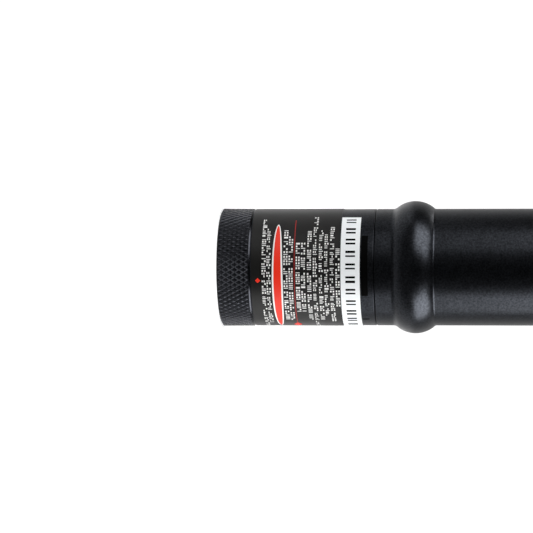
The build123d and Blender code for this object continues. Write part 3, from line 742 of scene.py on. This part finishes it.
def sweep():
    # A sheet that lies flat, then bends up behind the object in a quarter circle. The eye sees it white but
    # for the object's shadow, and polished metal sees it bright behind the object and dark in front.
    turn, r = floor["bendStart"], floor["bendRadius"]
    profile = np.vstack(([(floor["front"], 0), (turn, 0)], arcPoints((turn, r), r, -90, 0, steps=24)[1:],
                         [(turn + r, floor["top"])]))
    profile[:, 1] += floor["height"]
    x = np.array((-floor["halfWidth"], floor["halfWidth"]))
    points = np.stack(np.broadcast_arrays(x, profile[:, 0, None], profile[:, 1, None]), -1).reshape(-1, 3)
    index = np.arange(len(points)).reshape(len(profile), 2)
    mesh = bpy.data.meshes.new("sweep")
    mesh.from_pydata(points.tolist(), [], gridFaces(index, closed=False).tolist())
    mesh.polygons.foreach_set("use_smooth", np.ones(len(mesh.polygons), bool))
    sheet = bpy.data.objects.new("sweep", mesh)
    bpy.context.scene.collection.objects.link(sheet)
    material, tree = newMaterial("paleFloor")
    path = addNode(tree, "ShaderNodeLightPath").outputs
    place = addNode(tree, "ShaderNodeTexCoord").outputs["Object"]
    depth = addNode(tree, "ShaderNodeSeparateXYZ", {"Vector": place}).outputs["Y"]
    reach = addNode(tree, "ShaderNodeVectorMath", {"Vector": place}, operation="LENGTH").outputs["Value"]
    low, high = floor["mirrorY"]
    mirror = addNode(tree, "ShaderNodeMapRange", {
        "Value": depth, "From Min": low, "From Max": high, "To Min": 0, "To Max": floor["mirror"]})
    low, high = floor["toneY"]
    dark, pale = floor["tone"]
    shade = addNode(tree, "ShaderNodeMapRange", {
        "Value": depth, "From Min": low, "From Max": high, "To Min": dark, "To Max": pale})
    low, high = floor["fadeReach"]
    fade = addNode(tree, "ShaderNodeMapRange", {
        "Value": reach, "From Min": low, "From Max": high, "To Min": 1.0, "To Max": floor["fade"]})
    tone = addNode(tree, "ShaderNodeMath", {0: shade.outputs["Result"], 1: fade.outputs["Result"]},
                   operation="MULTIPLY")
    glow = addNode(tree, "ShaderNodeMath", {0: tone.outputs["Value"], 1: -floor["shadow"], 2: 1.0},
                   operation="MULTIPLY_ADD")
    seen = addNode(tree, "ShaderNodeMath", {0: path["Is Camera Ray"], 1: path["Is Transmission Ray"]},
                   operation="MAXIMUM")
    seenGlow = addNode(tree, "ShaderNodeMath", {0: seen.outputs["Value"], 1: glow.outputs["Value"]},
                       operation="MULTIPLY")
    mirrored = addNode(tree, "ShaderNodeMath", {0: path["Is Glossy Ray"], 1: mirror.outputs["Result"]},
                       operation="MULTIPLY")
    both = addNode(tree, "ShaderNodeMath", {0: seenGlow.outputs["Value"], 1: mirrored.outputs["Value"]},
                   operation="MAXIMUM")
    white = addNode(tree, "ShaderNodeEmission", {"Strength": both.outputs["Value"]})
    dull = addNode(tree, "ShaderNodeBsdfDiffuse", {"Color": tone.outputs["Value"]})
    total = addNode(tree, "ShaderNodeAddShader", {0: white.outputs["Emission"], 1: dull.outputs["BSDF"]})
    addNode(tree, "ShaderNodeOutputMaterial", {"Surface": total.outputs["Shader"]})
    mesh.materials.append(material)


def softBox(name, azimuth, elevation, width, height, level):
    # Faces the middle of the part from a direction in degrees from the front, and level is its brightness
    data = bpy.data.lights.new(name, "AREA")
    data.shape = "RECTANGLE"
    data.size, data.size_y = width, height
    data.energy = level * pi * width * height
    a, e = radians(azimuth), radians(elevation)
    away = Vector((cos(e) * sin(a), -cos(e) * cos(a), sin(e)))
    box = bpy.data.objects.new(name, data)
    box.location = Vector(lamps["middle"]) + away * lamps["distance"]
    box.rotation_euler = away.to_track_quat("Z", "Y").to_euler()
    box.visible_camera = False
    bpy.context.scene.collection.objects.link(box)


def studioWorld():
    # Dim where it lights the object, and white where the eye sees it, through glass too
    world = bpy.data.worlds.new("studio")
    world.use_nodes = True
    tree = world.node_tree
    tree.nodes.clear()
    path = addNode(tree, "ShaderNodeLightPath").outputs
    seen = addNode(tree, "ShaderNodeMath", {0: path["Is Camera Ray"], 1: path["Is Transmission Ray"]},
                   operation="MAXIMUM")
    dim, white = (addNode(tree, "ShaderNodeBackground", {"Color": linear("FFFFFF"), "Strength": level})
                  for level in (backdrop["dim"], backdrop["white"]))
    mix = addNode(tree, "ShaderNodeMixShader", {
        0: seen.outputs["Value"], 1: dim.outputs["Background"], 2: white.outputs["Background"]})
    addNode(tree, "ShaderNodeOutputWorld", {"Surface": mix.outputs["Shader"]})
    bpy.context.scene.world = world


def photoCamera():
    # Beside the object at the height of the tube, turned so that the tail points to the picture's right
    data = bpy.data.cameras.new("camera")
    data.lens = view["lens"]
    camera = bpy.data.objects.new("camera", data)
    bpy.context.scene.collection.objects.link(camera)
    place = Vector(view["place"])
    back = (place - Vector(view["target"])).normalized()
    up = Vector((-1, 0, 0))
    right = up.cross(back)
    camera.matrix_world = Matrix.Translation(place) @ Matrix((right, up, back)).transposed().to_4x4()
    bpy.context.scene.camera = camera


sweep()
studioWorld()
for name, box in lamps["boxes"].items():
    softBox(name, *box)
photoCamera()
bpy.context.scene.view_settings.view_transform = "Standard"
print("studio done")
